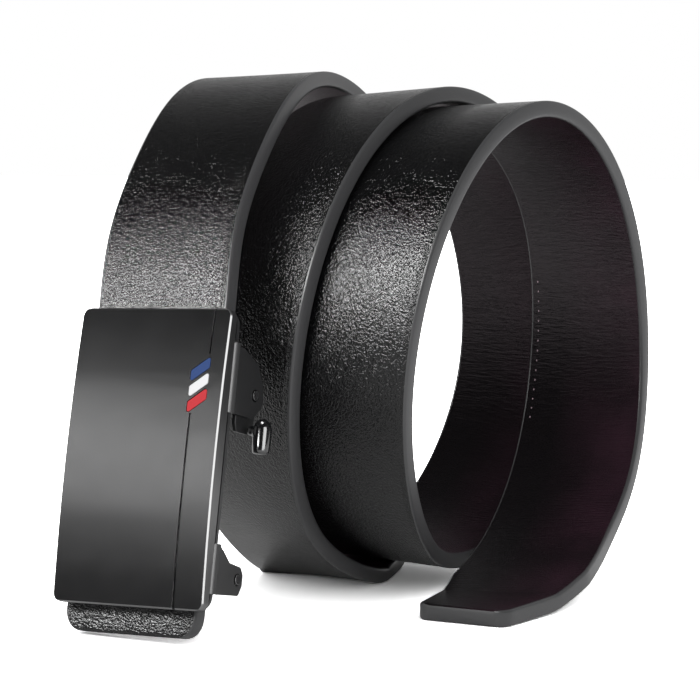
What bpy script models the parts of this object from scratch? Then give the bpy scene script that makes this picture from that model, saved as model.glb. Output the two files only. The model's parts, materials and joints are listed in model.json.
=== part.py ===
"""A ratchet belt, coiled and standing on a surface, with its automatic buckle.

The leather strap runs from its lower end, which stands on the surface, up behind the buckle's
plate, over the top, and round for two and three quarter turns to its free tip. The coil's axis
lies along X, the viewer's right is +X, +Y is away from the viewer and +Z is up. The buckle is
modelled in a frame of its own: its X lies across the plate, its Y goes from the plate back
through the strap, its Z runs up the plate, and its origin is on the strap's middle sheet behind
the plate's centre.
"""
import math

import bmesh
import bpy
import numpy as np
from mathutils import Matrix, Vector

MM = 0.001

# Strap
STRAP_WIDTH = 37.0 * MM
STRAP_THICK = 4.2 * MM
STRAP_EDGE_CHAMFER = 0.7 * MM
TIP_WIDTH = 24.0 * MM
TIP_TAPER = 38.0 * MM
TIP_CORNER = 3.0 * MM
END_CORNER = 5.0 * MM
SECTION_STEP = 7.5 * MM

# Coil
COIL_RADIUS = 70.0 * MM
TURN_GAP = 0.6 * MM
REST_FLAT = 0.6 * MM
RUN_LEAN = 14.1
RUN_ROLL = -1.75
RUN_POINTS = 6
TIP_ANGLE = 1030.0
TIP_ACROSS = 0.830

# Each row is a place along the coil. The angle counts from the front, over the top, in degrees.
# The radius is a share of COIL_RADIUS, and layers is how many turns of strap lie inside this one.
# The place across is a share of STRAP_WIDTH, and lean tips the strap's width, in degrees.
COIL_COLUMNS = ("angle", "radius", "layers", "across", "lean")
COIL_ROWS = (
    (12, 1.044, 2, -0.858, 0),
    (28, 1.021, 2, -0.937, 1),
    (45, 0.995, 2, -1.006, 2),
    (90, 0.957, 2, -1.318, 2),
    (135, 0.887, 2, -1.452, 2),
    (180, 0.818, 2, -1.627, 3),
    (225, 0.759, 2, -1.388, 6),
    (270, 0.649, 2, -0.869, 0),
    (315, 0.625, 2, -0.791, 12),
    (360, 0.794, 1, -0.640, 10),
    (405, 0.888, 1, -0.473, 8),
    (450, 0.959, 1, -0.374, 4),
    (495, 0.990, 1, -0.275, -2),
    (540, 0.932, 1, -0.211, -2),
    (585, 0.796, 1, -0.331, 0),
    (630, 0.631, 1, -0.316, 2),
    (675, 0.634, 1, -0.095, 3),
    (720, 0.810, 0, 0.106, 1),
    (765, 0.925, 0, 0.301, 3),
    (810, 0.979, 0, 0.439, 2),
    (855, 0.915, 0, 0.527, -12),
    (900, 0.790, 0, 0.551, -9),
    (940, 0.715, 0, 0.613, -4),
    (970, 0.701, 0, 0.669, -6),
    (1000, 0.753, 0, 0.790, -4),
)
REST_ANGLE = 270

# Face plate
PLATE_OVERHANG = 2.6 * MM
PLATE_WIDTH = STRAP_WIDTH + 2 * PLATE_OVERHANG
PLATE_LENGTH = 71.3 * MM
PLATE_THICK = 2.4 * MM
PLATE_CROWN = 1.3 * MM
PLATE_CORNER = 2.0 * MM
PLATE_EDGE_BEVEL = 0.35 * MM
PLATE_STATIONS = 16
END_SHOWS = 6.4 * MM

# Groove lines and stripes in the face plate
POCKET_DEPTH = 0.6 * MM
INLAY_CLEARANCE = 0.15 * MM
INLAY_THICK = 0.45 * MM
INLAY_SEAT_GAP = 0.1 * MM
STRIPE_NAMES = ("stripe_blue", "stripe_white", "stripe_red")
STRIPE_WIDTH = 5.0 * MM
STRIPE_HEIGHT = 2.75 * MM
STRIPE_PITCH = 3.75 * MM
STRIPE_SLOPE = 35.0
STRIPE_CORNER = 0.45 * MM
STRIPE_RIGHT_MARGIN = 4.2 * MM
STRIPE_TOP_MARGIN = 14.7 * MM
GROOVE_WIDTH = 0.7 * MM
GROOVE_INSET = 1.2 * MM
FINE_GROOVE_WIDTH = 0.35 * MM
FINE_GROOVE_INSET = 0.4 * MM
GROOVE_DEPTH = 0.4 * MM
GROOVE_END_GAP = 0.8 * MM

# Buckle frame: a tray of sheet metal with two cheeks at the top and two ears below
SHEET = 1.0 * MM
PLATE_GAP = 0.3 * MM
STRAP_CLEARANCE = 0.5 * MM
STRAP_SIDE_GAP = 0.3 * MM
FRAME_SHOWS = 0.1 * MM
FRAME_WIDTH = PLATE_WIDTH + 2 * FRAME_SHOWS
FRAME_LENGTH = 71.0 * MM
FRAME_CORNER = 3.4 * MM
BEND_RADIUS = 2.5 * MM
CHEEK_TOP = 28.2 * MM
CHEEK_BOTTOM = 11.4 * MM
CHEEK_SHOULDER = 22.0 * MM
EAR_HEIGHT = 11.8 * MM
EAR_FROM_END = 4.2 * MM
EAR_SHOULDER_RISE = 7.1 * MM
EAR_BOTTOM = EAR_FROM_END - FRAME_LENGTH / 2
EAR_TOP = EAR_BOTTOM + EAR_HEIGHT
EAR_SHOULDER = EAR_BOTTOM + EAR_SHOULDER_RISE

# Pins, whose ends stand a little proud of the side walls
PIN_RADIUS = 1.25 * MM
PIN_CLEARANCE = 0.3 * MM
PIN_PROUD = 0.35 * MM
PIN_EDGE = 2.4 * MM
PIVOT_UP = 17.0 * MM
CLAMP_PIN_RISE = 4.3 * MM
CLAMP_PIN_UP = EAR_BOTTOM + CLAMP_PIN_RISE
PIVOT_BACK = 5.6 * MM
CLAMP_PIN_BACK = 5.6 * MM

# Pawl, release lever and knob, which turn on the upper pin
LEVER_TRAVEL = 16.0
HUB_WALL = 1.3 * MM
SIDE_GAP = 0.3 * MM
PAWL_TOOTH_DROP = 5.0 * MM
PAWL_TOOTH_THICK = 1.6 * MM
STRAP_BACK_GAP = 0.3 * MM
LEVER_LOBE_DROP = 9.4 * MM
LEVER_LOBE_REACH = 3.0 * MM
KNOB_RADIUS = 2.3 * MM
KNOB_HEIGHT = 8.7 * MM
KNOB_DOWN = 9.9 * MM
KNOB_STAND_OFF = 0.9 * MM
KNOB_STEM_RADIUS = 1.2 * MM

# Spring on the upper pin
SPRING_WIRE = 0.8 * MM
SPRING_RADIUS = 2.4 * MM
SPRING_TURNS = 5
SPRING_LENGTH = 5.6 * MM
SPRING_POINTS_PER_TURN = 10

# Strap clamp, a plain cam on the lower pin
CLAMP_JAW_THICK = 1.6 * MM
CLAMP_JAW_LENGTH = 11.0 * MM
CLAMP_WIDTH = 36.6 * MM

SIDES = 24
OVERLAP = 0.2 * MM
CUT_REACH = 2.0 * MM


# Shared helpers

def material(name, color, roughness, metallic):
    """Return a Principled material of one colour."""
    mat = bpy.data.materials.new(name)
    mat.use_nodes = True
    shader = mat.node_tree.nodes["Principled BSDF"]
    shader.inputs["Base Color"].default_value = (*color, 1.0)
    shader.inputs["Roughness"].default_value = roughness
    shader.inputs["Metallic"].default_value = metallic
    return mat


def new_object(name, mesh, collection, parent=None):
    """Link a mesh as a named object under a parent."""
    obj = bpy.data.objects.new(name, mesh)
    collection.objects.link(obj)
    obj.parent = parent
    return obj


def mesh_from_bmesh(name, bm):
    """Turn a bmesh into a mesh whose faces point out."""
    bmesh.ops.recalc_face_normals(bm, faces=bm.faces)
    mesh = bpy.data.meshes.new(name)
    bm.to_mesh(mesh)
    bm.free()
    return mesh


def box_mesh(name, low, high):
    """Return a box between two corners."""
    bm = bmesh.new()
    bmesh.ops.create_cube(bm, size=1.0)
    size = Vector(high) - Vector(low)
    middle = (Vector(high) + Vector(low)) / 2
    bmesh.ops.scale(bm, vec=size, verts=bm.verts)
    bmesh.ops.translate(bm, vec=middle, verts=bm.verts)
    return mesh_from_bmesh(name, bm)


def rod_mesh(name, radius, start, end, back, up, sides=SIDES):
    """Return a rod along X at a depth and height."""
    bm = bmesh.new()
    bmesh.ops.create_cone(bm, cap_ends=True, segments=sides, radius1=radius, radius2=radius,
                          depth=end - start)
    turn = Matrix.Rotation(math.radians(90), 4, "Y")
    bmesh.ops.transform(bm, matrix=turn, verts=bm.verts)
    bmesh.ops.translate(bm, vec=((start + end) / 2, back, up), verts=bm.verts)
    return mesh_from_bmesh(name, bm)


def outline_mesh(name, points, thickness, matrix):
    """Extrude a flat outline to a plate about its own plane, placed by a matrix."""
    curve = bpy.data.curves.new(name, "CURVE")
    curve.dimensions = "2D"
    curve.fill_mode = "BOTH"
    curve.extrude = thickness / 2
    spline = curve.splines.new("POLY")
    spline.points.add(len(points) - 1)
    for point, (x, y) in zip(spline.points, points):
        point.co = (x, y, 0.0, 1.0)
    spline.use_cyclic_u = True
    holder = bpy.data.objects.new(name, curve)
    bpy.context.scene.collection.objects.link(holder)
    graph = bpy.context.evaluated_depsgraph_get()
    mesh = bpy.data.meshes.new_from_object(holder.evaluated_get(graph))
    bpy.data.objects.remove(holder)
    bpy.data.curves.remove(curve)
    bm = bmesh.new()
    bm.from_mesh(mesh)
    bpy.data.meshes.remove(mesh)
    bmesh.ops.remove_doubles(bm, verts=bm.verts, dist=0.001 * MM)
    bmesh.ops.transform(bm, matrix=matrix, verts=bm.verts)
    return mesh_from_bmesh(name, bm)


def round_corners(points, radius, steps=4):
    """Return an outline with each corner of a polygon rounded by a radius."""
    result = []
    count = len(points)
    for index in range(count):
        corner = Vector(points[index])
        before = (Vector(points[index - 1]) - corner)
        after = (Vector(points[(index + 1) % count]) - corner)
        half = before.angle(after) / 2
        reach = radius / math.tan(half)
        reach = min(reach, before.length * 0.49, after.length * 0.49)
        own_radius = reach * math.tan(half)
        bisector = (before.normalized() + after.normalized()).normalized()
        centre = corner + bisector * own_radius / math.sin(half)
        start = corner + before.normalized() * reach - centre
        end = corner + after.normalized() * reach - centre
        turn = start.angle_signed(end)
        for step in range(steps + 1):
            arm = start.copy()
            arm.rotate(Matrix.Rotation(-turn * step / steps, 2))
            result.append(tuple(centre + arm))
    return result


def side_matrix(across):
    """Place an outline drawn as (back, up) in the plane at a distance across."""
    return Matrix(((0, 0, 1, across), (1, 0, 0, 0), (0, 1, 0, 0), (0, 0, 0, 1)))


def face_matrix(back):
    """Place an outline drawn as (across, up) in the plane at a depth."""
    return Matrix(((1, 0, 0, 0), (0, 0, 1, back), (0, 1, 0, 0), (0, 0, 0, 1)))


def add_boolean(obj, other, operation):
    """Join a second shape to an object, or cut it away."""
    modifier = obj.modifiers.new(operation.title() + "_" + other.name, "BOOLEAN")
    modifier.operation = operation
    modifier.solver = "EXACT"
    modifier.object = other


def tool_object(name, mesh, tools, parent):
    """Keep a shape that only cuts or joins, shown as a wire."""
    obj = new_object(name, mesh, tools, parent)
    obj.display_type = "WIRE"
    obj.hide_render = True
    return obj


def loft_mesh(name, rings):
    """Skin a closed solid over rings of points that match one another."""
    bm = bmesh.new()
    layers = [[bm.verts.new(point) for point in ring] for ring in rings]
    count = len(rings[0])
    for lower, upper in zip(layers, layers[1:]):
        for index in range(count):
            after = (index + 1) % count
            bm.faces.new((lower[index], lower[after], upper[after], upper[index]))
    bm.faces.new(list(reversed(layers[0])))
    bm.faces.new(layers[-1])
    return mesh_from_bmesh(name, bm)


# Strap

def smooth_line(knots, values):
    """Return a natural cubic spline through values at knots."""
    knots = np.asarray(knots, float)
    values = np.asarray(values, float)
    steps = np.diff(knots)
    slopes = np.diff(values) / steps
    count = len(knots)
    system = np.eye(count)
    bends = np.zeros(count)
    for i in range(1, count - 1):
        system[i, i - 1:i + 2] = (steps[i - 1], 2 * (steps[i - 1] + steps[i]), steps[i])
        bends[i] = 6 * (slopes[i] - slopes[i - 1])
    bends = np.linalg.solve(system, bends)

    def value(at):
        i = int(np.clip(np.searchsorted(knots, at) - 1, 0, count - 2))
        left = at - knots[i]
        right = knots[i + 1] - at
        curve = (bends[i] * right ** 3 + bends[i + 1] * left ** 3) / (6 * steps[i])
        curve += (values[i] / steps[i] - bends[i] * steps[i] / 6) * right
        curve += (values[i + 1] / steps[i] - bends[i + 1] * steps[i] / 6) * left
        return curve

    return value


def row_radius(row):
    """Return the radius of the strap's middle sheet at a row of the table."""
    return row["radius"] * COIL_RADIUS + row["layers"] * (STRAP_THICK + TURN_GAP)


def coil_height():
    """Return the height of the coil's centre, so that its first turn rests on a short flat."""
    rows = [dict(zip(COIL_COLUMNS, values)) for values in COIL_ROWS]
    resting = min(rows, key=lambda row: abs(row["angle"] - REST_ANGLE))
    return row_radius(resting) + STRAP_THICK / 2 - REST_FLAT


def first_row():
    """Return the row of the table where the straight run ends and the coil starts."""
    return dict(zip(COIL_COLUMNS, COIL_ROWS[0]))


def run_start():
    """Return the place where the straight run behind the buckle ends and the coil starts."""
    row = first_row()
    angle = math.radians(row["angle"])
    radius = row_radius(row)
    return Vector((row["across"] * STRAP_WIDTH, -radius * math.cos(angle), radius * math.sin(angle)))


def run_up():
    """Return the direction of the straight run, which leans back and a little to one side."""
    lean = math.radians(RUN_LEAN)
    roll = math.radians(RUN_ROLL)
    return Vector((math.cos(lean) * math.sin(roll), math.sin(lean), math.cos(lean) * math.cos(roll)))


def run_length():
    """Return the length of the straight run, whose lowest corner stands on the surface."""
    up = run_up()
    corner = STRAP_THICK / 2 * up.y + (STRAP_WIDTH / 2 - END_CORNER) * abs(up.x)
    return (run_start().z - corner + coil_height()) / up.z


def path_rows():
    """List the path as rows of angle, radius, place across and lean, in real sizes."""
    rows = []
    for step in range(RUN_POINTS, 0, -1):
        place = run_start() - run_up() * run_length() * step / RUN_POINTS
        angle = math.degrees(math.atan2(place.z, -place.y))
        rows.append((angle, math.hypot(place.y, place.z), place.x, 0.0))
    for values in COIL_ROWS:
        row = dict(zip(COIL_COLUMNS, values))
        rows.append((row["angle"], row_radius(row), row["across"] * STRAP_WIDTH, row["lean"]))
    drop = abs(math.sin(math.radians(TIP_ANGLE)))
    tip_radius = (coil_height() - STRAP_THICK / 2) / drop
    rows.append((TIP_ANGLE, tip_radius, TIP_ACROSS * STRAP_WIDTH, 0.0))
    return rows


class StrapPath:
    """The strap's middle sheet, read by its angle round the coil."""

    def __init__(self):
        rows = path_rows()
        angles = [row[0] for row in rows]
        self.first = angles[0]
        self.last = angles[-1]
        self.run_end = COIL_ROWS[0][0]
        self.radius = smooth_line(angles, [row[1] for row in rows])
        self.across = smooth_line(angles, [row[2] for row in rows])
        self.lean = smooth_line(angles, [row[3] for row in rows])

    def centre(self, angle):
        """Return the middle of the strap, kept no lower than where it rests."""
        turn = math.radians(angle)
        if angle < self.run_end:
            start = run_start()
            up = run_up()
            slope = math.tan(turn)
            return start - up * (start.z + start.y * slope) / (up.z + up.y * slope)
        radius = self.radius(angle)
        low = STRAP_THICK / 2 - coil_height()
        height = max(radius * math.sin(turn), low)
        return Vector((self.across(angle), -radius * math.cos(turn), height))

    def frame(self, angle):
        """Return the centre, the width direction and the outward direction."""
        nudge = 0.5
        ahead = self.centre(min(angle + nudge, self.last))
        behind = self.centre(max(angle - nudge, self.first))
        along = (ahead - behind).normalized()
        width = (Vector((1, 0, 0)) - along * along.x).normalized()
        outward = width.cross(along)
        turn = math.radians(angle)
        if outward.dot(Vector((0, -math.cos(turn), math.sin(turn)))) < 0:
            outward = -outward
        lean = math.radians(self.lean(angle))
        leaned = width * math.cos(lean) + outward * math.sin(lean)
        out = outward * math.cos(lean) - width * math.sin(lean)
        return self.centre(angle), leaned, out

    def stations(self, step):
        """List angles and the length run so far, about a step apart."""
        fine = np.linspace(self.first, self.last, 1500)
        places = [self.centre(angle) for angle in fine]
        lengths = np.concatenate(([0.0], np.cumsum([(b - a).length for a, b in
                                                    zip(places, places[1:])])))
        total = lengths[-1]
        ends = [0.0] + [END_CORNER * share for share in (0.08, 0.3, 0.6, 1.0)]
        middle = list(np.linspace(END_CORNER, total - TIP_TAPER,
                                  max(12, round((total - TIP_TAPER - END_CORNER) / step)))[1:])
        taper = list(np.linspace(total - TIP_TAPER, total - TIP_CORNER, 6)[1:])
        marks = ends + middle + taper + [total - TIP_CORNER * share for share in (0.5, 0.15, 0.0)]
        return [(float(np.interp(mark, lengths, fine)), mark) for mark in marks], total


def half_width(mark, total):
    """Return half the strap's width, rounded at the lower end and cut in to the tip."""
    half = STRAP_WIDTH / 2
    into_tip = mark - (total - TIP_TAPER)
    if into_tip > 0:
        half -= (STRAP_WIDTH - TIP_WIDTH) / 2 * into_tip / TIP_TAPER
    for left, corner in ((mark, END_CORNER), (total - mark, TIP_CORNER)):
        if left < corner:
            short = 1 - left / corner
            half -= corner * (1 - math.sqrt(1 - short * short)) * 0.9
    return half


def strap_ring(path, angle, half):
    """Return the strap's section at a place: a flat strip with chamfered edges."""
    centre, width, out = path.frame(angle)
    thick = STRAP_THICK / 2
    cut = STRAP_EDGE_CHAMFER
    corners = ((half - cut, thick), (half, thick - cut), (half, cut - thick), (half - cut, -thick),
               (cut - half, -thick), (-half, cut - thick), (-half, thick - cut), (cut - half, thick))
    ring = [centre + width * x + out * y for x, y in corners]
    if angle > path.run_end:
        for point in ring:
            point.z = max(point.z, -coil_height())
    return ring


def build_strap(parts, root):
    """Build the strap as one loft from its lower end to its tip."""
    path = StrapPath()
    places, total = path.stations(SECTION_STEP)
    rings = [strap_ring(path, angle, half_width(mark, total)) for angle, mark in places]
    strap = new_object("strap", loft_mesh("strap", rings), parts, root)
    strap.data.materials.append(material("strap_leather", (0.012, 0.012, 0.013), 0.42, 0.0))
    strap.data.shade_smooth()
    strap.data.set_sharp_from_angle(angle=math.radians(35))
    return strap


# Depths in the buckle's frame, from the strap outwards

def tray_back():
    return -STRAP_THICK / 2 - STRAP_CLEARANCE


def tray_front():
    return tray_back() - SHEET


def plate_back():
    return tray_front() - PLATE_GAP


def plate_edge_front():
    return plate_back() - PLATE_THICK


def strap_back():
    return STRAP_THICK / 2


def plate_front(up):
    """Return the depth of the plate's crowned face at a height."""
    share = 2 * up / PLATE_LENGTH
    return plate_edge_front() - PLATE_CROWN * (1 - share * share)


def pivot_back():
    return strap_back() + PIVOT_BACK


def clamp_pin_back():
    return strap_back() + CLAMP_PIN_BACK


# Face plate and its inlays

def plate_heights():
    """List the heights of the plate's sections, closer together at its chamfered, rounded ends."""
    half = PLATE_LENGTH / 2
    ends = [half, half - PLATE_EDGE_BEVEL]
    ends += [half - PLATE_CORNER * (1 - math.sin(math.radians(turn))) for turn in (45, 22, 0)]
    body = list(np.linspace(-ends[-1], ends[-1], PLATE_STATIONS))
    return [-height for height in ends[:-1]] + body + list(reversed(ends[:-1]))


def plate_half_width(up):
    """Return half the plate's width at a height, less its rounded corners."""
    into = abs(up) - (PLATE_LENGTH / 2 - PLATE_CORNER)
    if into <= 0:
        return PLATE_WIDTH / 2
    return PLATE_WIDTH / 2 - PLATE_CORNER * (1 - math.sqrt(max(0.0, 1 - (into / PLATE_CORNER) ** 2)))


def stripe_centre(index):
    """Return the middle of a stripe, as (across, up)."""
    across = PLATE_WIDTH / 2 - STRIPE_RIGHT_MARGIN - STRIPE_WIDTH / 2
    up = PLATE_LENGTH / 2 - STRIPE_TOP_MARGIN - index * STRIPE_PITCH
    return across, up


def stripe_outline(index, grow):
    """Return a stripe's slanted outline, grown by a clearance."""
    across, up = stripe_centre(index)
    half = STRIPE_WIDTH / 2 + grow
    rise = half * math.tan(math.radians(STRIPE_SLOPE))
    tall = STRIPE_HEIGHT / 2 + grow / math.cos(math.radians(STRIPE_SLOPE))
    corners = ((across - half, up - rise - tall), (across + half, up + rise - tall),
               (across + half, up + rise + tall), (across - half, up - rise + tall))
    return round_corners(corners, STRIPE_CORNER + grow, steps=3)


def crowned_slab(name, outline, thickness, lift):
    """Return a thin slab whose faces follow the plate's crown, with its face lifted above it."""
    middle = sum(point[1] for point in outline) / len(outline)
    depth = plate_front(middle) - lift + thickness / 2
    mesh = outline_mesh(name, outline, thickness, face_matrix(depth))
    for vertex in mesh.vertices:
        vertex.co.y += plate_front(vertex.co.z) - plate_front(middle)
    return mesh


def groove_box(name, low, high, across, width, tools, seat):
    """Return a cutter for one straight groove line in the plate."""
    rows = max(2, round((high - low) / (6 * MM)))
    rings = []
    for up in np.linspace(low, high, rows + 1):
        front = plate_front(up)
        rings.append([(across - width / 2, front - CUT_REACH, up), (across + width / 2, front - CUT_REACH, up),
                      (across + width / 2, front + GROOVE_DEPTH, up),
                      (across - width / 2, front + GROOVE_DEPTH, up)])
    return tool_object(name, loft_mesh(name, rings), tools, seat)


def build_face_plate(parts, tools, seat):
    """Build the crowned plate with its two groove lines and the pockets of its stripes."""
    cut = PLATE_EDGE_BEVEL
    rings = []
    for up in plate_heights():
        half = plate_half_width(up)
        to_end = PLATE_LENGTH / 2 - abs(up)
        front = plate_front(up) + max(0.0, cut - to_end)
        rings.append([(-half, plate_back(), up), (half, plate_back(), up), (half, front + cut, up),
                      (half - cut, front, up), (cut - half, front, up), (-half, front + cut, up)])
    plate = new_object("face_plate", loft_mesh("face_plate", rings), parts, seat)
    for index, name in enumerate(STRIPE_NAMES):
        outline = stripe_outline(index, INLAY_CLEARANCE)
        deep = POCKET_DEPTH + CUT_REACH
        cutter = tool_object("pocket_" + name, crowned_slab("pocket_" + name, outline, deep, CUT_REACH),
                             tools, seat)
        add_boolean(plate, cutter, "DIFFERENCE")
    half = PLATE_LENGTH / 2
    left_line = stripe_centre(2)[0] - STRIPE_WIDTH / 2 + GROOVE_INSET
    right_line = stripe_centre(0)[0] + STRIPE_WIDTH / 2 - FINE_GROOVE_INSET
    slope = math.tan(math.radians(STRIPE_SLOPE))
    reach = STRIPE_HEIGHT / 2 + GROOVE_END_GAP
    lower_top = stripe_centre(2)[1] + (left_line - stripe_centre(2)[0]) * slope - reach
    upper_bottom = stripe_centre(0)[1] + (right_line - stripe_centre(0)[0]) * slope + reach
    for name, low, high, across, width in (
            ("groove_lower", -half - CUT_REACH, lower_top, left_line, GROOVE_WIDTH),
            ("groove_upper", upper_bottom, half + CUT_REACH, right_line, FINE_GROOVE_WIDTH)):
        add_boolean(plate, groove_box(name, low, high, across, width, tools, seat), "DIFFERENCE")
    plate.data.materials.append(material("plate_black_metal", (0.02, 0.02, 0.021), 0.32, 0.9))
    return plate


def build_stripes(parts, seat):
    """Build the three enamel stripes in their pockets."""
    colors = {"stripe_blue": (0.02, 0.06, 0.42), "stripe_white": (0.9, 0.9, 0.9),
              "stripe_red": (0.75, 0.02, 0.02)}
    for index, name in enumerate(STRIPE_NAMES):
        lift = INLAY_THICK + INLAY_SEAT_GAP - POCKET_DEPTH
        mesh = crowned_slab(name, stripe_outline(index, 0.0), INLAY_THICK, lift)
        stripe = new_object(name, mesh, parts, seat)
        stripe.data.materials.append(material(name + "_enamel", colors[name], 0.25, 0.0))


# Buckle frame

def cheek_outline():
    """Return the side outline of an upper cheek, as (back, up)."""
    root = tray_front() + BEND_RADIUS - OVERLAP
    rear = pivot_back() + PIN_RADIUS + PIN_EDGE
    points = ((root, CHEEK_BOTTOM), (pivot_back(), CHEEK_BOTTOM), (rear, PIVOT_UP - PIN_EDGE),
              (rear, PIVOT_UP + PIN_EDGE), (pivot_back(), CHEEK_SHOULDER + PIN_EDGE), (root, CHEEK_TOP))
    return round_corners(points, 1.6 * MM, steps=3)


def ear_outline():
    """Return the side outline of a lower ear, as (back, up)."""
    root = tray_front() + BEND_RADIUS - OVERLAP
    rear = clamp_pin_back() + PIN_EDGE
    points = ((root, EAR_BOTTOM), (rear - PIN_RADIUS, EAR_BOTTOM + 0.5 * MM), (rear, CLAMP_PIN_UP - PIN_RADIUS),
              (rear, CLAMP_PIN_UP + PIN_RADIUS), (rear - PIN_RADIUS, EAR_SHOULDER + 0.2 * MM),
              (strap_back() + 1.5 * MM, EAR_SHOULDER + 0.8 * MM), (root, EAR_TOP))
    return round_corners(points, 1.0 * MM, steps=3)


def bend_mesh(name, side, low, high):
    """Return the rounded bend of sheet that joins the tray to a side wall."""
    steps = 5
    centre_across = FRAME_WIDTH / 2 - BEND_RADIUS
    centre_back = tray_front() + BEND_RADIUS
    outer = []
    inner = []
    for step in range(steps + 1):
        turn = math.radians(90) * step / steps
        for radius, ring in ((BEND_RADIUS, outer), (BEND_RADIUS - SHEET, inner)):
            ring.append((centre_across + radius * math.sin(turn), centre_back - radius * math.cos(turn)))
    outer = [(centre_across - OVERLAP, tray_front())] + outer + [(FRAME_WIDTH / 2, centre_back + OVERLAP)]
    inner = [(centre_across - OVERLAP, tray_front() + SHEET)] + inner
    inner += [(FRAME_WIDTH / 2 - SHEET, centre_back + OVERLAP)]
    section = outer + list(reversed(inner))
    rings = [[(side * across, back, up) for across, back in section] for up in (low, high)]
    return loft_mesh(name, rings)


def build_frame(parts, tools, seat):
    """Build the tray with its bent cheeks and ears, and the holes of both pins."""
    half_w = FRAME_WIDTH / 2
    half_l = FRAME_LENGTH / 2
    corners = ((-half_w, -half_l), (half_w, -half_l), (half_w, half_l), (-half_w, half_l))
    outline = round_corners(corners, FRAME_CORNER, steps=5)
    tray_mid = (tray_back() + tray_front()) / 2
    tray = outline_mesh("buckle_frame", outline, SHEET, face_matrix(tray_mid))
    frame = new_object("buckle_frame", tray, parts, seat)
    for side, word in ((-1, "left"), (1, "right")):
        for kind, low, high in (("cheek", CHEEK_BOTTOM, CHEEK_TOP), ("ear", EAR_BOTTOM, EAR_TOP)):
            # the tray's flat edge is cut off where the sheet is bent
            edge = side * (half_w - BEND_RADIUS + OVERLAP / 2)
            reach = side * (half_w + CUT_REACH)
            low_corner = (min(edge, reach), tray_front() - CUT_REACH, low)
            high_corner = (max(edge, reach), tray_back() + CUT_REACH, high)
            name = kind + "_relief_" + word
            add_boolean(frame, tool_object(name, box_mesh(name, low_corner, high_corner), tools, seat),
                        "DIFFERENCE")
    for side, word in ((-1, "left"), (1, "right")):
        for kind, low, high in (("cheek", CHEEK_BOTTOM, CHEEK_TOP), ("ear", EAR_BOTTOM, EAR_TOP)):
            shape = cheek_outline() if kind == "cheek" else ear_outline()
            name = kind + "_wall_" + word
            wall = outline_mesh(name, shape, SHEET, side_matrix(side * (half_w - SHEET / 2)))
            add_boolean(frame, tool_object(name, wall, tools, seat), "UNION")
            name = kind + "_bend_" + word
            add_boolean(frame, tool_object(name, bend_mesh(name, side, low, high), tools, seat), "UNION")
    for name, back, up in (("pivot_hole", pivot_back(), PIVOT_UP), ("clamp_hole", clamp_pin_back(), CLAMP_PIN_UP)):
        hole = rod_mesh(name, PIN_RADIUS + PIN_CLEARANCE, -half_w - CUT_REACH, half_w + CUT_REACH, back, up)
        add_boolean(frame, tool_object(name, hole, tools, seat), "DIFFERENCE")
    frame.data.materials.append(material("frame_black_steel", (0.025, 0.025, 0.026), 0.38, 0.9))
    return frame


def build_pin(name, back, up, parts, seat):
    """Build a plain pin through both side walls."""
    reach = FRAME_WIDTH / 2 + PIN_PROUD
    pin = new_object(name, rod_mesh(name, PIN_RADIUS, -reach, reach, back, up), parts, seat)
    pin.data.materials.append(material(name + "_steel", (0.05, 0.05, 0.052), 0.3, 1.0))
    return pin


# Pawl, lever and knob, in the frame of the upper pin: Y and Z count from its axis

def hub_radius():
    return PIN_RADIUS + PIN_CLEARANCE + HUB_WALL


def inner_wall():
    """Return how far the inner side of a cheek lies from the middle."""
    return FRAME_WIDTH / 2 - SHEET


def arm_outer():
    return inner_wall() - SIDE_GAP


def build_pawl(parts, tools, axle):
    """Build the pawl: a hub on the pin and a tooth that bears on the strap's back."""
    hub_end = arm_outer() - SHEET - SIDE_GAP - SPRING_LENGTH - SIDE_GAP
    hub_start = -inner_wall() + SIDE_GAP
    pawl = new_object("pawl", rod_mesh("pawl", hub_radius(), hub_start, hub_end, 0, 0), parts, axle)
    front = strap_back() + STRAP_BACK_GAP - pivot_back()
    thick = PAWL_TOOTH_THICK
    points = ((front, -PAWL_TOOTH_DROP), (front + thick, -PAWL_TOOTH_DROP - 0.4 * MM),
              (PIN_RADIUS, -hub_radius() * 0.8), (0.0, hub_radius() * 0.6), (-hub_radius() * 0.7, 0.6 * MM),
              (front, 0.6 * MM - PAWL_TOOTH_DROP))
    length = 2 * (STRAP_WIDTH / 2 - 2 * MM)
    tooth = outline_mesh("pawl_tooth", points, length, side_matrix((hub_start + hub_end) / 2 * 0))
    tooth_end = min(hub_end, length / 2)
    for vertex in tooth.vertices:
        vertex.co.x = min(vertex.co.x, tooth_end)
    add_boolean(pawl, tool_object("pawl_tooth", tooth, tools, axle), "UNION")
    bore = rod_mesh("pawl_bore", PIN_RADIUS + PIN_CLEARANCE, hub_start - CUT_REACH, hub_end + CUT_REACH, 0, 0)
    add_boolean(pawl, tool_object("pawl_bore", bore, tools, axle), "DIFFERENCE")
    pawl.data.materials.append(material("pawl_steel", (0.04, 0.04, 0.042), 0.4, 0.9))
    return pawl


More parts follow.
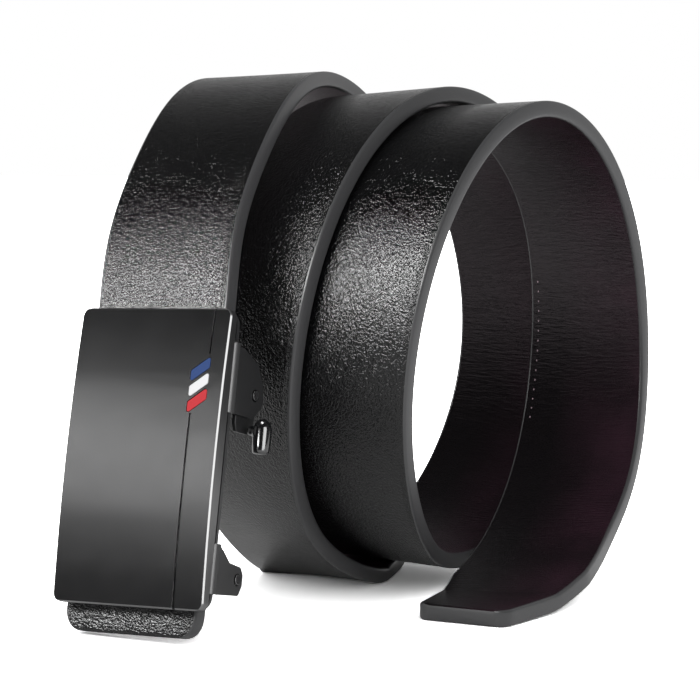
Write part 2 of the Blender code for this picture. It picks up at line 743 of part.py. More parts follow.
def build_lever(parts, tools, axle):
    """Build the release lever: an arm beside the strap whose lobe shows below the right cheek."""
    outer = arm_outer()
    radius = hub_radius()
    lobe_front = -LEVER_LOBE_REACH - radius
    stem_back = -0.4 * MM
    points = ((-radius, radius * 0.5), (-radius * 0.4, radius), (radius * 0.4, radius), (radius, radius * 0.4),
              (radius, -radius * 0.4), (stem_back + 3.0 * MM, -LEVER_LOBE_DROP + 2.0 * MM),
              (stem_back + 1.4 * MM, -LEVER_LOBE_DROP), (lobe_front + 1.0 * MM, -LEVER_LOBE_DROP),
              (lobe_front, -LEVER_LOBE_DROP + 2.0 * MM), (lobe_front, -LEVER_LOBE_DROP + 4.0 * MM))
    shape = round_corners(points, 0.8 * MM, steps=2)
    mesh = outline_mesh("release_lever", shape, SHEET, side_matrix(outer - SHEET / 2))
    lever = new_object("release_lever", mesh, parts, axle)
    bore = rod_mesh("lever_bore", PIN_RADIUS + PIN_CLEARANCE, outer - SHEET - CUT_REACH, outer + CUT_REACH, 0, 0)
    add_boolean(lever, tool_object("lever_bore", bore, tools, axle), "DIFFERENCE")
    lever.data.materials.append(material("lever_steel", (0.03, 0.03, 0.032), 0.35, 0.9))
    return lever


def build_knob(parts, tools, axle):
    """Build the glossy bullet knob on its stem, outside the right cheek."""
    knob_across = FRAME_WIDTH / 2 + KNOB_STAND_OFF + KNOB_RADIUS
    top = KNOB_HEIGHT / 2
    profile = [(KNOB_RADIUS * math.sin(math.radians(turn)),
                top - KNOB_RADIUS * 1.15 * (1 - math.cos(math.radians(turn))))
               for turn in (0, 20, 40, 60, 78, 90)]
    profile += [(KNOB_RADIUS, -top * 0.35), (KNOB_RADIUS * 0.92, -top * 0.8), (KNOB_RADIUS * 0.8, -top), (0.0, -top)]
    curve_mesh = bpy.data.meshes.new("lever_knob")
    curve_mesh.from_pydata([(x, 0.0, z) for x, z in profile], [(i, i + 1) for i in range(len(profile) - 1)], [])
    knob = new_object("lever_knob", curve_mesh, parts, axle)
    knob.location = (knob_across, -0.4 * MM, -KNOB_DOWN)
    screw = knob.modifiers.new("Turned", "SCREW")
    screw.steps = SIDES
    screw.render_steps = SIDES
    screw.use_merge_vertices = True
    screw.merge_threshold = 0.00002
    stem_start = arm_outer() + SIDE_GAP
    stem = rod_mesh("knob_stem", KNOB_STEM_RADIUS, stem_start - knob_across, -KNOB_RADIUS * 0.4, 0, 1.4 * MM, sides=16)
    add_boolean(knob, tool_object("knob_stem", stem, tools, knob), "UNION")
    knob.data.materials.append(material("knob_gloss_metal", (0.03, 0.03, 0.03), 0.08, 1.0))
    return knob


def build_spring(parts, seat):
    """Build the coiled spring on the upper pin, between the pawl's hub and the lever's arm."""
    start = arm_outer() - SHEET - SIDE_GAP - SPRING_LENGTH + SPRING_WIRE / 2
    length = SPRING_LENGTH - SPRING_WIRE
    curve = bpy.data.curves.new("torsion_spring", "CURVE")
    curve.dimensions = "3D"
    curve.bevel_depth = SPRING_WIRE / 2
    curve.bevel_resolution = 1
    curve.use_fill_caps = True
    spline = curve.splines.new("POLY")
    count = SPRING_TURNS * SPRING_POINTS_PER_TURN
    spline.points.add(count)
    for index in range(count + 1):
        turn = 2 * math.pi * index / SPRING_POINTS_PER_TURN
        spline.points[index].co = (start + length * index / count,
                                   pivot_back() + SPRING_RADIUS * math.cos(turn),
                                   PIVOT_UP + SPRING_RADIUS * math.sin(turn), 1.0)
    spring = bpy.data.objects.new("torsion_spring", curve)
    parts.objects.link(spring)
    spring.parent = seat
    curve.materials.append(material("spring_steel", (0.3, 0.3, 0.3), 0.3, 1.0))
    return spring


def build_clamp(parts, tools, seat):
    """Build the strap clamp: a jaw on the strap's back and the hub that carries it."""
    front = strap_back() + STRAP_BACK_GAP
    half = CLAMP_WIDTH / 2
    low = CLAMP_PIN_UP - CLAMP_JAW_LENGTH * 0.35
    high = CLAMP_PIN_UP + CLAMP_JAW_LENGTH * 0.65
    jaw_half = STRAP_WIDTH / 2
    clamp = new_object("strap_clamp", box_mesh("strap_clamp", (-jaw_half, front, low),
                                               (jaw_half, front + CLAMP_JAW_THICK, high)), parts, seat)
    hub = rod_mesh("clamp_hub", hub_radius(), -half, half, clamp_pin_back(), CLAMP_PIN_UP)
    add_boolean(clamp, tool_object("clamp_hub", hub, tools, seat), "UNION")
    web_half = hub_radius() * 0.6
    web = box_mesh("clamp_web", (-jaw_half + 1 * MM, front + OVERLAP, CLAMP_PIN_UP - web_half),
                   (jaw_half - 1 * MM, clamp_pin_back(), CLAMP_PIN_UP + web_half))
    add_boolean(clamp, tool_object("clamp_web", web, tools, seat), "UNION")
    bore = rod_mesh("clamp_bore", PIN_RADIUS + PIN_CLEARANCE, -half - CUT_REACH, half + CUT_REACH,
                    clamp_pin_back(), CLAMP_PIN_UP)
    add_boolean(clamp, tool_object("clamp_bore", bore, tools, seat), "DIFFERENCE")
    clamp.data.materials.append(material("clamp_steel", (0.04, 0.04, 0.042), 0.45, 0.9))
    return clamp


# Assembly

def empty(name, collection, parent, matrix=None):
    """Add an empty that carries other objects."""
    obj = bpy.data.objects.new(name, None)
    collection.objects.link(obj)
    obj.parent = parent
    if matrix is not None:
        obj.matrix_local = matrix
    return obj


def seat_matrix():
    """Place the buckle on the run's middle behind the plate's centre, squared to the strap."""
    up = run_up()
    across = (Vector((1, 0, 0)) - up * up.x).normalized()
    aside = inner_wall() - STRAP_WIDTH / 2 - STRAP_SIDE_GAP
    place = run_start() - up * (run_length() - END_SHOWS - PLATE_LENGTH / 2) + across * aside
    back = up.cross(across)
    matrix = Matrix((across, back, up)).transposed().to_4x4()
    matrix.translation = place
    return matrix


def centre_on_origin(root, parts):
    """Stand the belt on the plane z = 0 with the middle of its box over the origin."""
    bpy.context.view_layer.update()
    graph = bpy.context.evaluated_depsgraph_get()
    points = []
    for obj in parts.objects:
        if obj.type == "EMPTY":
            continue
        evaluated = obj.evaluated_get(graph)
        mesh = evaluated.to_mesh()
        points.extend(evaluated.matrix_world @ vertex.co for vertex in mesh.vertices)
        evaluated.to_mesh_clear()
    middle = [(min(point[i] for point in points) + max(point[i] for point in points)) / 2 for i in (0, 1)]
    root.location = (-middle[0], -middle[1], coil_height())


def main():
    for obj in list(bpy.data.objects):
        bpy.data.objects.remove(obj)
    parts = bpy.data.collections.new("ratchet_belt")
    tools = bpy.data.collections.new("cutters")
    bpy.context.scene.collection.children.link(parts)
    bpy.context.scene.collection.children.link(tools)
    root = empty("coil_centre", parts, None)
    seat = empty("buckle_seat", parts, root, seat_matrix())
    axle = empty("lever_axle", parts, seat, Matrix.Translation((0, pivot_back(), PIVOT_UP)))
    build_strap(parts, root)
    build_face_plate(parts, tools, seat)
    build_stripes(parts, seat)
    build_frame(parts, tools, seat)
    build_pin("lever_pin", pivot_back(), PIVOT_UP, parts, seat)
    build_pin("clamp_pin", clamp_pin_back(), CLAMP_PIN_UP, parts, seat)
    build_pawl(parts, tools, axle)
    build_lever(parts, tools, axle)
    build_knob(parts, tools, axle)
    build_spring(parts, seat)
    build_clamp(parts, tools, seat)
    centre_on_origin(root, parts)


main()
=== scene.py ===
"""Looks of the coiled ratchet belt: camera, leather strap, buckle, floor and lights.

The strap is rebuilt here along the same path as in the part, with many more sections and with
softly rounded edges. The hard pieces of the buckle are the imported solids, copied with rounded
edges and their own finishes. All sizes are in metres in the part's own frame.
"""

import json
import math

import bmesh
import bpy
import numpy as np
from mathutils import Matrix, Vector


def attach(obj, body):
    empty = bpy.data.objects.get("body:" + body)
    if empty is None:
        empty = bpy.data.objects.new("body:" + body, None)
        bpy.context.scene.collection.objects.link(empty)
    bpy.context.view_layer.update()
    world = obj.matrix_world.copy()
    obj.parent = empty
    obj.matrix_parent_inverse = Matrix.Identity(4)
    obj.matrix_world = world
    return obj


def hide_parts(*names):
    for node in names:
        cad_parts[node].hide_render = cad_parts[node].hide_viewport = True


MM = 0.001
MM_PER_METRE = 1000

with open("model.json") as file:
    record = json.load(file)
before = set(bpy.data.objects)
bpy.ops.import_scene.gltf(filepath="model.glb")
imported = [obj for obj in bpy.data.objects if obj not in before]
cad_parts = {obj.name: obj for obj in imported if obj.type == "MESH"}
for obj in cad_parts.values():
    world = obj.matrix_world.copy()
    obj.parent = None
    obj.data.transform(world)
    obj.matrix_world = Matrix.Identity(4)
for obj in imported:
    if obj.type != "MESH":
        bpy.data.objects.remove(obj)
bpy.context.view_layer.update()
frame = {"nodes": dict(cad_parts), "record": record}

# The coil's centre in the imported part's frame
COIL_CENTRE = Vector((15.629, 15.273, 56.53)) * MM

# Camera, placed from the coil's centre
CAMERA_FROM_COIL = Vector((295.66, -582.46, 61.31)) * MM
CAMERA_AZIMUTH = 28.86
CAMERA_ELEVATION = 4.84
CAMERA_LENS = 127.54
CAMERA_SENSOR = 36.0
CAMERA_CLIP_START = 10.0 * MM

# Strap, as in the part
STRAP_WIDTH = 37.0 * MM
STRAP_THICK = 4.2 * MM
TIP_WIDTH = 24.0 * MM
TIP_TAPER = 38.0 * MM
TIP_CORNER = 3.0 * MM
END_CORNER = 5.0 * MM
COIL_RADIUS = 70.0 * MM
TURN_GAP = 0.6 * MM
REST_FLAT = 0.6 * MM
RUN_LEAN = 14.1
RUN_ROLL = -1.75
RUN_POINTS = 6
TIP_ANGLE = 1030.0
TIP_ACROSS = 0.830
REST_ANGLE = 270

# The round of the strap's long edges, which only this script has
EDGE_ROUND = 0.75 * MM

# How finely the strap is built. Angles are in degrees, END_STEPS are shares of an end's corner,
# CORNER_CUT is how much of a corner's round is cut, and END_THINNING how much the two ends thin.
SECTION_STEP = 1.6 * MM
FACE_PARTS = 22
EDGE_PARTS = 5
END_STEPS = (0.0, 0.02, 0.08, 0.18, 0.32, 0.5, 0.74)
CORNER_CUT = 0.9
END_THINNING = 0.16
SHARP_FROM = 50
PATH_SAMPLES = 2400
DIRECTION_STEP = 0.5

# Each row is a place along the coil, with the same columns and values as in the part. The radii
# and the places across came from a fit of the strap's outlines to those in the photo.
COIL_COLUMNS = ("angle", "radius", "layers", "across", "lean")
COIL_ROWS = (
    (12, 1.044, 2, -0.858, 0),
    (28, 1.021, 2, -0.937, 1),
    (45, 0.995, 2, -1.006, 2),
    (90, 0.957, 2, -1.318, 2),
    (135, 0.887, 2, -1.452, 2),
    (180, 0.818, 2, -1.627, 3),
    (225, 0.759, 2, -1.388, 6),
    (270, 0.649, 2, -0.869, 0),
    (315, 0.625, 2, -0.791, 12),
    (360, 0.794, 1, -0.640, 10),
    (405, 0.888, 1, -0.473, 8),
    (450, 0.959, 1, -0.374, 4),
    (495, 0.990, 1, -0.275, -2),
    (540, 0.932, 1, -0.211, -2),
    (585, 0.796, 1, -0.331, 0),
    (630, 0.631, 1, -0.316, 2),
    (675, 0.634, 1, -0.095, 3),
    (720, 0.810, 0, 0.106, 1),
    (765, 0.925, 0, 0.301, 3),
    (810, 0.979, 0, 0.439, 2),
    (855, 0.915, 0, 0.527, -12),
    (900, 0.790, 0, 0.551, -9),
    (940, 0.715, 0, 0.613, -4),
    (970, 0.701, 0, 0.669, -6),
    (1000, 0.753, 0, 0.790, -4),
)

# Row of small marks on the inner face of the last turn, each a low oval dome coloured light as a painted
# glint, built only over the stretch where they catch the light
MARKS_FROM = 879.0
MARKS_TO = 920.0
MARK_PITCH = 2.7 * MM
MARK_INSET = 2.6 * MM
MARK_RADIUS = 0.2 * MM
MARK_LENGTH_SHARE = 1.5
MARK_RISE_SHARE = 0.5


def add_object(name, data):
    """Put a new object with this mesh, light or camera into the scene."""
    made = bpy.data.objects.new(name, data)
    bpy.context.scene.collection.objects.link(made)
    return made


# Camera

def look_matrix(azimuth, elevation):
    """Return the turn of a camera that looks along +Y at azimuth 0, and down from elevation."""
    turn = math.radians(azimuth)
    rise = math.radians(elevation)
    back = Vector((math.sin(turn) * math.cos(rise), -math.cos(turn) * math.cos(rise), math.sin(rise)))
    right = Vector((math.cos(turn), math.sin(turn), 0.0))
    up = back.cross(right)
    return Matrix((right, up, back)).transposed().to_4x4()


def add_camera():
    """Place the camera of the photo."""
    data = bpy.data.cameras.new("photo_camera")
    data.sensor_width = CAMERA_SENSOR
    data.lens = CAMERA_LENS
    data.clip_start = CAMERA_CLIP_START
    camera = add_object("photo_camera", data)
    place = Matrix.Translation(COIL_CENTRE + CAMERA_FROM_COIL)
    camera.matrix_world = place @ look_matrix(CAMERA_AZIMUTH, CAMERA_ELEVATION)
    bpy.context.scene.camera = camera


add_camera()


# Materials

# Noise and cell scales are per millimetre of strap, and bump heights are real heights.
WARP_DETAIL = 2.0
LEATHER_IOR = 1.5

OUTER_BLACK = (0.004, 0.004, 0.0043, 1.0)
PEBBLE_SHARE = 0.55
CREASE_SHARE = 0.35
GRAIN_HEIGHT = 0.125 * MM
FINE_GRAIN_HEIGHT = 0.035 * MM

EDGE_GREY = (0.052, 0.052, 0.054, 1.0)
EDGE_ROUGHNESS = 0.36
EDGE_RIPPLE = 0.35
EDGE_RIPPLE_HEIGHT = 0.05 * MM

# The lining's black and its plum: the plum is partly the lining's own tint and partly painted light,
# laid on towards the strap's lit edge
LINING_BLACK = (0.0045, 0.0038, 0.0044, 1.0)
LINING_PLUM_AND_PAINTED_SHEEN = (0.024, 0.0105, 0.0165, 1.0)
LINING_SHINE_TINT = (1.0, 0.86, 0.92, 1.0)
LINING_SHINE = 0.4
WRINKLE_HEIGHT = 0.30 * MM
LINING_GRAIN = 0.8
LINING_GRAIN_HEIGHT = 0.05 * MM

# Hard finishes. Their scales are per metre, as the hard pieces use their own coordinates.
COAT_ROUGHNESS = 0.08
SPECK_SCALE = 5200.0
BROAD_SCALE = 160.0
SPECK_HEIGHT = 0.006 * MM


def new_material(name):
    """Return a material, its node tree and its Principled shader."""
    made = bpy.data.materials.new(name)
    made.use_nodes = True
    tree = made.node_tree
    return made, tree, tree.nodes["Principled BSDF"]


def set_inputs(node, **values):
    """Set sockets of a node by name, with spaces written as underscores."""
    for key, value in values.items():
        node.inputs[key.replace("_", " ")].default_value = value


def strap_coordinates(tree, along, across):
    """Return the strap's own coordinates in millimetres, stretched by a share each way."""
    uv = tree.nodes.new("ShaderNodeUVMap")
    uv.uv_map = "strap"
    mapping = tree.nodes.new("ShaderNodeMapping")
    mapping.inputs["Scale"].default_value = (MM_PER_METRE * along, MM_PER_METRE * across, 1.0)
    tree.links.new(uv.outputs["UV"], mapping.inputs["Vector"])
    return mapping.outputs["Vector"]


def warped(tree, vector, scale, amount):
    """Return coordinates pushed about by a soft noise."""
    noise = tree.nodes.new("ShaderNodeTexNoise")
    set_inputs(noise, Scale=scale, Detail=WARP_DETAIL)
    tree.links.new(vector, noise.inputs["Vector"])
    centred = tree.nodes.new("ShaderNodeVectorMath")
    centred.operation = "SUBTRACT"
    centred.inputs[1].default_value = (0.5, 0.5, 0.5)
    tree.links.new(noise.outputs["Color"], centred.inputs[0])
    grown = tree.nodes.new("ShaderNodeVectorMath")
    grown.operation = "SCALE"
    grown.inputs["Scale"].default_value = amount
    tree.links.new(centred.outputs["Vector"], grown.inputs[0])
    moved = tree.nodes.new("ShaderNodeVectorMath")
    moved.operation = "ADD"
    tree.links.new(vector, moved.inputs[0])
    tree.links.new(grown.outputs["Vector"], moved.inputs[1])
    return moved.outputs["Vector"]


def noise_value(tree, vector, scale, detail, roughness=0.5):
    """Return a noise value between 0 and 1."""
    noise = tree.nodes.new("ShaderNodeTexNoise")
    set_inputs(noise, Scale=scale, Detail=detail, Roughness=roughness)
    tree.links.new(vector, noise.inputs["Vector"])
    return noise.outputs["Fac"]


def cells(tree, vector, scale, feature, smoothness=None):
    """Return the distance value of a cell pattern."""
    voronoi = tree.nodes.new("ShaderNodeTexVoronoi")
    voronoi.feature = feature
    voronoi.inputs["Scale"].default_value = scale
    if smoothness is not None:
        voronoi.inputs["Smoothness"].default_value = smoothness
    tree.links.new(vector, voronoi.inputs["Vector"])
    return voronoi.outputs["Distance"]


def ranged(tree, value, low, high, to_low, to_high):
    """Return a value moved from one range to another."""
    node = tree.nodes.new("ShaderNodeMapRange")
    set_inputs(node, From_Min=low, From_Max=high, To_Min=to_low, To_Max=to_high)
    tree.links.new(value, node.inputs["Value"])
    return node.outputs["Result"]


def combined(tree, operation, first, second):
    """Return two values joined by a sum, product or other operation."""
    node = tree.nodes.new("ShaderNodeMath")
    node.operation = operation
    for socket, value in zip(node.inputs, (first, second)):
        if isinstance(value, (int, float)):
            socket.default_value = value
        else:
            tree.links.new(value, socket)
    return node.outputs["Value"]


def add_bump(tree, shader, height, strength, distance, before=None):
    """Bend the surface by a height value, on top of an earlier bump."""
    bump = tree.nodes.new("ShaderNodeBump")
    bump.inputs["Strength"].default_value = strength
    bump.inputs["Distance"].default_value = distance
    tree.links.new(height, bump.inputs["Height"])
    if before:
        tree.links.new(before, bump.inputs["Normal"])
    tree.links.new(bump.outputs["Normal"], shader.inputs["Normal"])
    return bump.outputs["Normal"]


def outer_leather():
    """Black leather with a fine pebble grain and short creases across the strap."""
    made, tree, shader = new_material("leather_outer")
    set_inputs(shader, Base_Color=OUTER_BLACK, IOR=LEATHER_IOR)
    flat = strap_coordinates(tree, along=1.0, across=1.0)
    bent = warped(tree, flat, scale=0.8, amount=0.9)
    pebbles = ranged(tree, cells(tree, bent, 1.9, "SMOOTH_F1", smoothness=0.3),
                     low=0.1, high=0.75, to_low=1.0, to_high=0.0)
    creases = ranged(tree, cells(tree, bent, 0.9, "DISTANCE_TO_EDGE"),
                     low=0.0, high=0.16, to_low=0.0, to_high=1.0)
    stretched = warped(tree, strap_coordinates(tree, along=1.0, across=0.35), scale=0.5, amount=0.9)
    folds = noise_value(tree, stretched, scale=1.5, detail=3.0, roughness=0.6)
    grain = combined(tree, "ADD", combined(tree, "MULTIPLY", pebbles, PEBBLE_SHARE), folds)
    grain = combined(tree, "ADD", grain, combined(tree, "MULTIPLY", creases, CREASE_SHARE))
    fine = noise_value(tree, flat, scale=5.5, detail=3.0, roughness=0.7)
    wear = noise_value(tree, flat, scale=0.09, detail=2.0)
    rough = combined(tree, "ADD", ranged(tree, fine, low=0.3, high=0.7, to_low=0.11, to_high=0.18),
                     ranged(tree, wear, low=0.3, high=0.7, to_low=-0.03, to_high=0.04))
    tree.links.new(rough, shader.inputs["Roughness"])
    first = add_bump(tree, shader, grain, 1.0, GRAIN_HEIGHT)
    add_bump(tree, shader, fine, 1.0, FINE_GRAIN_HEIGHT, first)
    return made


def edge_paint():
    """Dark grey paint on the strap's cut edges, with a faint ripple."""
    made, tree, shader = new_material("leather_edge")
    set_inputs(shader, Base_Color=EDGE_GREY, Roughness=EDGE_ROUGHNESS, IOR=LEATHER_IOR)
    ripple = noise_value(tree, strap_coordinates(tree, along=1.0, across=2.0), scale=0.8, detail=3.0)
    add_bump(tree, shader, ripple, EDGE_RIPPLE, EDGE_RIPPLE_HEIGHT)
    return made


def inner_leather():
    """Near-black lining with a plum tint, painted stronger towards one edge as painted light, and fine
    wrinkles across the strap.
    """
    made, tree, shader = new_material("leather_inner")
    set_inputs(shader, IOR=LEATHER_IOR, Specular_IOR_Level=LINING_SHINE)
    flat = strap_coordinates(tree, along=1.0, across=1.0)
    stretched = warped(tree, strap_coordinates(tree, along=1.0, across=0.14), scale=0.4, amount=1.1)
    wrinkles = noise_value(tree, stretched, scale=1.3, detail=4.0, roughness=0.62)
    fine = noise_value(tree, flat, scale=4.0, detail=3.0, roughness=0.7)
    patches = ranged(tree, noise_value(tree, flat, scale=0.05, detail=3.0),
                     low=0.35, high=0.65, to_low=0.35, to_high=1.0)
    apart = tree.nodes.new("ShaderNodeSeparateXYZ")
    tree.links.new(flat, apart.inputs["Vector"])
    # Painted light: the plum tint grows across the strap towards one edge, where the side light falls,
    # and comes and goes in random patches along it
    painted_light_side = ranged(tree, apart.outputs["Y"], low=-8.0, high=14.0, to_low=0.0, to_high=1.0)
    tint = tree.nodes.new("ShaderNodeMix")
    tint.data_type = "RGBA"
    share, first_color, second_color = tint.inputs[0], tint.inputs[6], tint.inputs[7]
    first_color.default_value = LINING_BLACK
    second_color.default_value = LINING_PLUM_AND_PAINTED_SHEEN
    tree.links.new(combined(tree, "MULTIPLY", patches, painted_light_side), share)
    tree.links.new(tint.outputs[2], shader.inputs["Base Color"])
    shader.inputs["Specular Tint"].default_value = LINING_SHINE_TINT
    rough = ranged(tree, fine, low=0.3, high=0.7, to_low=0.24, to_high=0.34)
    tree.links.new(rough, shader.inputs["Roughness"])
    first = add_bump(tree, shader, wrinkles, 1.0, WRINKLE_HEIGHT)
    add_bump(tree, shader, fine, LINING_GRAIN, LINING_GRAIN_HEIGHT, first)
    return made


def hard_finish(name, color, roughness, coat=0.0, ior=1.5, grain=0.0, gloss=0.5):
    """A hard, coated finish, with a very fine surface grain where grain is given."""
    made, tree, shader = new_material(name)
    set_inputs(shader, Base_Color=(*color, 1.0), Roughness=roughness, Coat_Weight=coat,
               Coat_Roughness=COAT_ROUGHNESS, IOR=ior, Specular_IOR_Level=gloss)
    if grain:
        where = tree.nodes.new("ShaderNodeTexCoord")
        speck = noise_value(tree, where.outputs["Object"], SPECK_SCALE, detail=3.0, roughness=0.6)
        broad = noise_value(tree, where.outputs["Object"], BROAD_SCALE, detail=2.0)
        rough = combined(tree, "ADD", ranged(tree, speck, low=0.3, high=0.7, to_low=-0.03, to_high=0.03),
                         ranged(tree, broad, low=0.3, high=0.7,
                                to_low=roughness - 0.01, to_high=roughness + 0.01))
        tree.links.new(rough, shader.inputs["Roughness"])
        add_bump(tree, shader, speck, grain, SPECK_HEIGHT)
    return made


# Strap

def smooth_line(knots, values):
    """Return a function that runs smoothly through the values, straight at both ends."""
    count = len(knots)
    steps = [knots[i + 1] - knots[i] for i in range(count - 1)]
    slopes = [(values[i + 1] - values[i]) / steps[i] for i in range(count - 1)]
    grid = np.zeros((count, count))
    right = np.zeros(count)
    grid[0, 0] = 1.0
    grid[-1, -1] = 1.0
    for i in range(1, count - 1):
        grid[i, i - 1] = steps[i - 1]
        grid[i, i] = 2 * (steps[i - 1] + steps[i])
        grid[i, i + 1] = steps[i]
        right[i] = 6 * (slopes[i] - slopes[i - 1])
    bends = np.linalg.solve(grid, right)

    def value(place):
        i = int(np.clip(np.searchsorted(knots, place) - 1, 0, count - 2))
        a = knots[i + 1] - place
        b = place - knots[i]
        h = steps[i]
        return (bends[i] * a ** 3 / (6 * h) + bends[i + 1] * b ** 3 / (6 * h)
                + (values[i] / h - bends[i] * h / 6) * a
                + (values[i + 1] / h - bends[i + 1] * h / 6) * b)
    return value


def row_radius(row):
    """Return a row's radius, with the turns of strap that lie inside it."""
    return row["radius"] * COIL_RADIUS + row["layers"] * (STRAP_THICK + TURN_GAP)


COIL = [dict(zip(COIL_COLUMNS, values)) for values in COIL_ROWS]
COIL_HEIGHT = (row_radius(next(row for row in COIL if row["angle"] == REST_ANGLE))
               + STRAP_THICK / 2 - REST_FLAT)


def run_start():
    """Return the place where the straight run up behind the buckle meets the coil."""
    row = COIL[0]
    angle = math.radians(row["angle"])
    radius = row_radius(row)
    return Vector((row["across"] * STRAP_WIDTH, -radius * math.cos(angle), radius * math.sin(angle)))


def run_up():
    """Return the direction of the straight run, upwards."""
    lean = math.radians(RUN_LEAN)
    roll = math.radians(RUN_ROLL)
    return Vector((math.cos(lean) * math.sin(roll), math.sin(lean), math.cos(lean) * math.cos(roll)))


def run_length():
    """Return how long the straight run is, so that its lowest corner stands on the floor."""
    up = run_up()
    corner = STRAP_THICK / 2 * up.y + (STRAP_WIDTH / 2 - END_CORNER) * abs(up.x)
    return (run_start().z - corner + COIL_HEIGHT) / up.z


class StrapPath:
    """The strap's middle sheet, read by its angle round the coil, from the coil's centre."""

    def __init__(self):
        rows = []
        for step in range(RUN_POINTS, 0, -1):
            place = run_start() - run_up() * run_length() * step / RUN_POINTS
            rows.append((math.degrees(math.atan2(place.z, -place.y)),
                         math.hypot(place.y, place.z), place.x, 0.0))
        for row in COIL:
            rows.append((row["angle"], row_radius(row), row["across"] * STRAP_WIDTH, row["lean"]))
        drop = abs(math.sin(math.radians(TIP_ANGLE)))
        tip_radius = (COIL_HEIGHT - STRAP_THICK / 2) / drop
        rows.append((TIP_ANGLE, tip_radius, TIP_ACROSS * STRAP_WIDTH, 0.0))
        angles = [row[0] for row in rows]
        self.first = angles[0]
        self.last = angles[-1]
        self.run_end = COIL[0]["angle"]
        self.radius = smooth_line(angles, [row[1] for row in rows])
        self.across = smooth_line(angles, [row[2] for row in rows])
        self.lean = smooth_line(angles, [row[3] for row in rows])
        fine = np.linspace(self.first, self.last, PATH_SAMPLES)
        places = [self.centre(angle) for angle in fine]
        steps = [(b - a).length for a, b in zip(places, places[1:])]
        self.fine = fine
        self.lengths = np.concatenate(([0.0], np.cumsum(steps)))
        self.total = float(self.lengths[-1])

    def centre(self, angle):
        """Return the middle of the strap at an angle, straight on the run and never below the floor."""
        turn = math.radians(angle)
        if angle < self.run_end:
            start = run_start()
            up = run_up()
            slope = math.tan(turn)
            return start - up * (start.z + start.y * slope) / (up.z + up.y * slope)
        radius = self.radius(angle)
        height = max(radius * math.sin(turn), STRAP_THICK / 2 - COIL_HEIGHT)
        return Vector((self.across(angle), -radius * math.cos(turn), height))

    def axes_at(self, angle):
        """Return the centre, the width direction and the outward direction."""
        ahead = self.centre(min(angle + DIRECTION_STEP, self.last))
        behind = self.centre(max(angle - DIRECTION_STEP, self.first))
        along = (ahead - behind).normalized()
        width = (Vector((1, 0, 0)) - along * along.x).normalized()
        outward = width.cross(along)
        turn = math.radians(angle)
        if outward.dot(Vector((0, -math.cos(turn), math.sin(turn)))) < 0:
            outward = -outward
        lean = math.radians(self.lean(angle))
        leaned = width * math.cos(lean) + outward * math.sin(lean)
        out = outward * math.cos(lean) - width * math.sin(lean)
        return self.centre(angle), leaned, out

    def angle_at(self, mark):
        """Return the angle at a length along the strap."""
        return float(np.interp(mark, self.lengths, self.fine))

    def length_at(self, angle):
        """Return the length along the strap at an angle."""
        return float(np.interp(angle, self.fine, self.lengths))


def half_width(mark, total):
    """Return half the strap's width, rounded at the lower end and cut in to the tip."""
    half = STRAP_WIDTH / 2
    into_tip = mark - (total - TIP_TAPER)
    if into_tip > 0:
        half -= (STRAP_WIDTH - TIP_WIDTH) / 2 * into_tip / TIP_TAPER
    for left, corner in ((mark, END_CORNER), (total - mark, TIP_CORNER)):
        if left < corner:
            short = 1 - left / corner
            half -= corner * (1 - math.sqrt(max(0.0, 1 - short * short))) * CORNER_CUT
    return half


def rounded_edge(across, out, begin):
    """List the points of a quarter round about a centre, turning down from an angle in degrees."""
    points = []
    for i in range(EDGE_PARTS):
        turn = math.radians(begin - 90 * i / EDGE_PARTS)
        points.append((across + EDGE_ROUND * math.cos(turn), out + EDGE_ROUND * math.sin(turn), "edge"))
    return points


def section(half):
    """List the section's points as across, out and band, going round from the outer face."""
    thick = STRAP_THICK / 2
    rise = thick - EDGE_ROUND
    inset = half - EDGE_ROUND
    steps = [2 * inset * i / FACE_PARTS for i in range(FACE_PARTS)]
    outer = [(-inset + step, thick, "outer") for step in steps]
    inner = [(inset - step, -thick, "inner") for step in steps]
    right = rounded_edge(inset, rise, 90) + rounded_edge(inset, -rise, 0)
    left = rounded_edge(-inset, -rise, 270) + rounded_edge(-inset, rise, 180)
    return outer + right + inner + left


def section_marks(path):
    """List the lengths along the strap that get a section, close together at both ends."""
    marks = [END_CORNER * share for share in END_STEPS]
    count = int((path.total - END_CORNER - TIP_CORNER) / SECTION_STEP)
    marks += list(np.linspace(END_CORNER, path.total - TIP_CORNER, count))
    marks += [path.total - TIP_CORNER * share for share in reversed(END_STEPS)]
    return marks


def strap_section(path, mark):
    """Return a section's points, and for each its length, its width coordinate and its band."""
    angle = path.angle_at(mark)
    centre, width, out = path.axes_at(angle)
    end = min(mark, path.total - mark)
    shrink = 1.0 if end > EDGE_ROUND else 1 - END_THINNING * (1 - end / EDGE_ROUND) ** 2
    points = []
    notes = []
    for across, height, band in section(half_width(mark, path.total)):
        point = centre + width * across + out * height * shrink
        if angle > path.run_end:
            point.z = max(point.z, -COIL_HEIGHT)
        points.append(point + COIL_CENTRE)
        notes.append((mark, across if band != "edge" else across + height, band))
    return points, notes


# The order of the strap's materials, and the bands that each of its two pieces keeps
BANDS = ("outer", "edge", "inner")
STRAP_PIECES = (("strap_leather", ("outer", "edge")), ("strap_lining", ("inner",)))


def strap_piece(whole, name, bands, materials):
    """Make a piece of some of the whole strap's bands, as an open skin."""
    part = whole.copy()
    kept = [BANDS.index(band) for band in bands]
    others = [face for face in part.faces if face.material_index not in kept]
    bmesh.ops.delete(part, geom=others, context="FACES")
    mesh = bpy.data.meshes.new(name)
    part.to_mesh(mesh)
    part.free()
    mesh.set_sharp_from_angle(angle=math.radians(SHARP_FROM))
    for finish in materials:
        mesh.materials.append(finish)
    piece = add_object(name, mesh)
    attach(piece, "belt")
    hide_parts("strap")
    return piece


